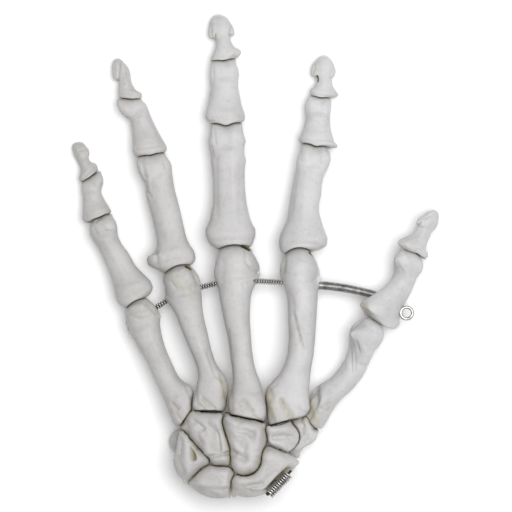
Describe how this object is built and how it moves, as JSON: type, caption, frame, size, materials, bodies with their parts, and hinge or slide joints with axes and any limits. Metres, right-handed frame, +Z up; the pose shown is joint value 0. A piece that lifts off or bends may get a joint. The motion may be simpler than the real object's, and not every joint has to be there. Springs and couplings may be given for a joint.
{
  "type": "human hand model",
  "caption": "Life-size skeleton of a left hand, lying palm down: plastic bones strung on steel wire and springs, with every finger and thumb joint free to bend.",
  "frame": {"origin": "middle of the hand's box in the plan, at the height of the table it lies on", "axes": "+Y along the middle finger to the fingertips, +X to the thumb's side, +Z up out of the back of the hand"},
  "size_m": [0.1436, 0.1874, 0.0262],
  "materials": {
    "moulded_bone": "matte off-white moulded plastic",
    "spring_steel": "drawn bright steel wire"
  },
  "bodies": {
    "palm": {"capitate": "moulded_bone", "hamate": "moulded_bone", "lunate": "moulded_bone", "pisiform": "moulded_bone", "scaphoid": "moulded_bone", "trapezium": "moulded_bone", "trapezoid": "moulded_bone", "triquetrum": "moulded_bone", "index_metacarpal": "moulded_bone", "middle_metacarpal": "moulded_bone", "ring_metacarpal": "moulded_bone", "little_metacarpal": "moulded_bone", "knuckle_wire": "spring_steel", "little_ring_spacer_spring": "spring_steel", "ring_middle_spacer_spring": "spring_steel", "middle_index_spacer_spring": "spring_steel", "proximal_row_wire": "spring_steel", "distal_row_wire": "spring_steel", "index_base_pin": "spring_steel", "middle_base_pin": "spring_steel", "ring_base_pin": "spring_steel", "little_base_pin": "spring_steel", "capitate_lunate_pin": "spring_steel", "trapezoid_scaphoid_pin": "spring_steel", "pisiform_pin": "spring_steel", "wrist_spring": "spring_steel", "wrist_spring_wire": "spring_steel", "index_mcp_link": "spring_steel", "middle_mcp_link": "spring_steel", "ring_mcp_link": "spring_steel", "little_mcp_link": "spring_steel", "thumb_cmc_link": "spring_steel", "thumb_tether_spring": "spring_steel", "thumb_tether_wire": "spring_steel"},
    "index_proximal": {"index_proximal_phalanx": "moulded_bone", "index_pip_link": "spring_steel"},
    "index_middle": {"index_middle_phalanx": "moulded_bone", "index_dip_link": "spring_steel"},
    "index_distal": {"index_distal_phalanx": "moulded_bone"},
    "middle_proximal": {"middle_proximal_phalanx": "moulded_bone", "middle_pip_link": "spring_steel"},
    "middle_middle": {"middle_middle_phalanx": "moulded_bone", "middle_dip_link": "spring_steel"},
    "middle_distal": {"middle_distal_phalanx": "moulded_bone"},
    "ring_proximal": {"ring_proximal_phalanx": "moulded_bone", "ring_pip_link": "spring_steel"},
    "ring_middle": {"ring_middle_phalanx": "moulded_bone", "ring_dip_link": "spring_steel"},
    "ring_distal": {"ring_distal_phalanx": "moulded_bone"},
    "little_proximal": {"little_proximal_phalanx": "moulded_bone", "little_pip_link": "spring_steel"},
    "little_middle": {"little_middle_phalanx": "moulded_bone", "little_dip_link": "spring_steel"},
    "little_distal": {"little_distal_phalanx": "moulded_bone"},
    "thumb_base": {"thumb_metacarpal": "moulded_bone", "thumb_mcp_link": "spring_steel"},
    "thumb_proximal": {"thumb_proximal_phalanx": "moulded_bone", "thumb_ip_link": "spring_steel", "hanging_eye": "spring_steel"},
    "thumb_distal": {"thumb_distal_phalanx": "moulded_bone"}
  },
  "joints": [
    {"name": "index_mcp", "type": "hinge", "parent": "palm", "child": "index_proximal", "pos_m": [0.01653, -0.00436, 0.00975], "axis": [-0.9903, 0.1392, 0], "range_deg": [-20, 80], "deforming": ["index_mcp_link"]},
    {"name": "index_pip", "type": "hinge", "parent": "index_proximal", "child": "index_middle", "pos_m": [0.0225, 0.03812, 0.00675], "axis": [-0.9959, 0.0906, 0], "range_deg": [0, 90], "deforming": ["index_pip_link"]},
    {"name": "index_dip", "type": "hinge", "parent": "index_middle", "child": "index_distal", "pos_m": [0.02435, 0.0584, 0.00435], "axis": [-0.994, 0.1097, 0], "range_deg": [0, 60], "deforming": ["index_dip_link"]},
    {"name": "middle_mcp", "type": "hinge", "parent": "palm", "child": "middle_proximal", "pos_m": [-0.00887, -0.00342, 0.01045], "axis": [-0.998, -0.0628, 0], "range_deg": [-20, 80], "deforming": ["middle_mcp_link"]},
    {"name": "middle_pip", "type": "hinge", "parent": "middle_proximal", "child": "middle_middle", "pos_m": [-0.01197, 0.04597, 0.00715], "axis": [-0.9996, -0.0297, 0], "range_deg": [0, 90], "deforming": ["middle_pip_link"]},
    {"name": "middle_dip", "type": "hinge", "parent": "middle_middle", "child": "middle_distal", "pos_m": [-0.01276, 0.07235, 0.00475], "axis": [-0.9959, -0.0906, 0], "range_deg": [0, 60], "deforming": ["middle_dip_link"]},
    {"name": "ring_mcp", "type": "hinge", "parent": "palm", "child": "ring_proximal", "pos_m": [-0.02915, -0.01021, 0.00955], "axis": [-0.9732, -0.23, 0], "range_deg": [-20, 80], "deforming": ["ring_mcp_link"]},
    {"name": "ring_pip", "type": "hinge", "parent": "ring_proximal", "child": "ring_middle", "pos_m": [-0.03973, 0.03457, 0.00675], "axis": [-0.9415, -0.3371, 0], "range_deg": [0, 90], "deforming": ["ring_pip_link"]},
    {"name": "ring_dip", "type": "hinge", "parent": "ring_middle", "child": "ring_distal", "pos_m": [-0.04812, 0.05799, 0.00435], "axis": [-0.9426, -0.3338, 0], "range_deg": [0, 60], "deforming": ["ring_dip_link"]},
    {"name": "little_mcp", "type": "hinge", "parent": "palm", "child": "little_proximal", "pos_m": [-0.0445, -0.02307, 0.00835], "axis": [-0.9063, -0.4226, 0], "range_deg": [-20, 80], "deforming": ["little_mcp_link"]},
    {"name": "little_pip", "type": "hinge", "parent": "little_proximal", "child": "little_middle", "pos_m": [-0.06031, 0.01084, 0.00595], "axis": [-0.9681, -0.2504, 0], "range_deg": [0, 90], "deforming": ["little_pip_link"]},
    {"name": "little_dip", "type": "hinge", "parent": "little_middle", "child": "little_distal", "pos_m": [-0.06462, 0.02748, 0.00395], "axis": [-0.9563, -0.2924, 0], "range_deg": [0, 60], "deforming": ["little_dip_link"]},
    {"name": "thumb_cmc", "type": "hinge", "parent": "palm", "child": "thumb_base", "pos_m": [0.01944, -0.06881, 0.00655], "axis": [0.0689, 0.9954, 0.0668], "range_deg": [-3, 25], "deforming": ["thumb_cmc_link", "thumb_tether_spring", "thumb_tether_wire"]},
    {"name": "thumb_mcp", "type": "hinge", "parent": "thumb_base", "child": "thumb_proximal", "pos_m": [0.04355, -0.03126, 0.00915], "axis": [-0.6036, 0.3933, 0.6936], "range_deg": [-5, 25], "deforming": ["thumb_mcp_link", "thumb_tether_spring", "thumb_tether_wire"]},
    {"name": "thumb_ip", "type": "hinge", "parent": "thumb_proximal", "child": "thumb_distal", "pos_m": [0.05963, -0.00342, 0.00735], "axis": [-0.6083, 0.3906, 0.6909], "range_deg": [-10, 65], "deforming": ["thumb_ip_link"]}
  ]
}
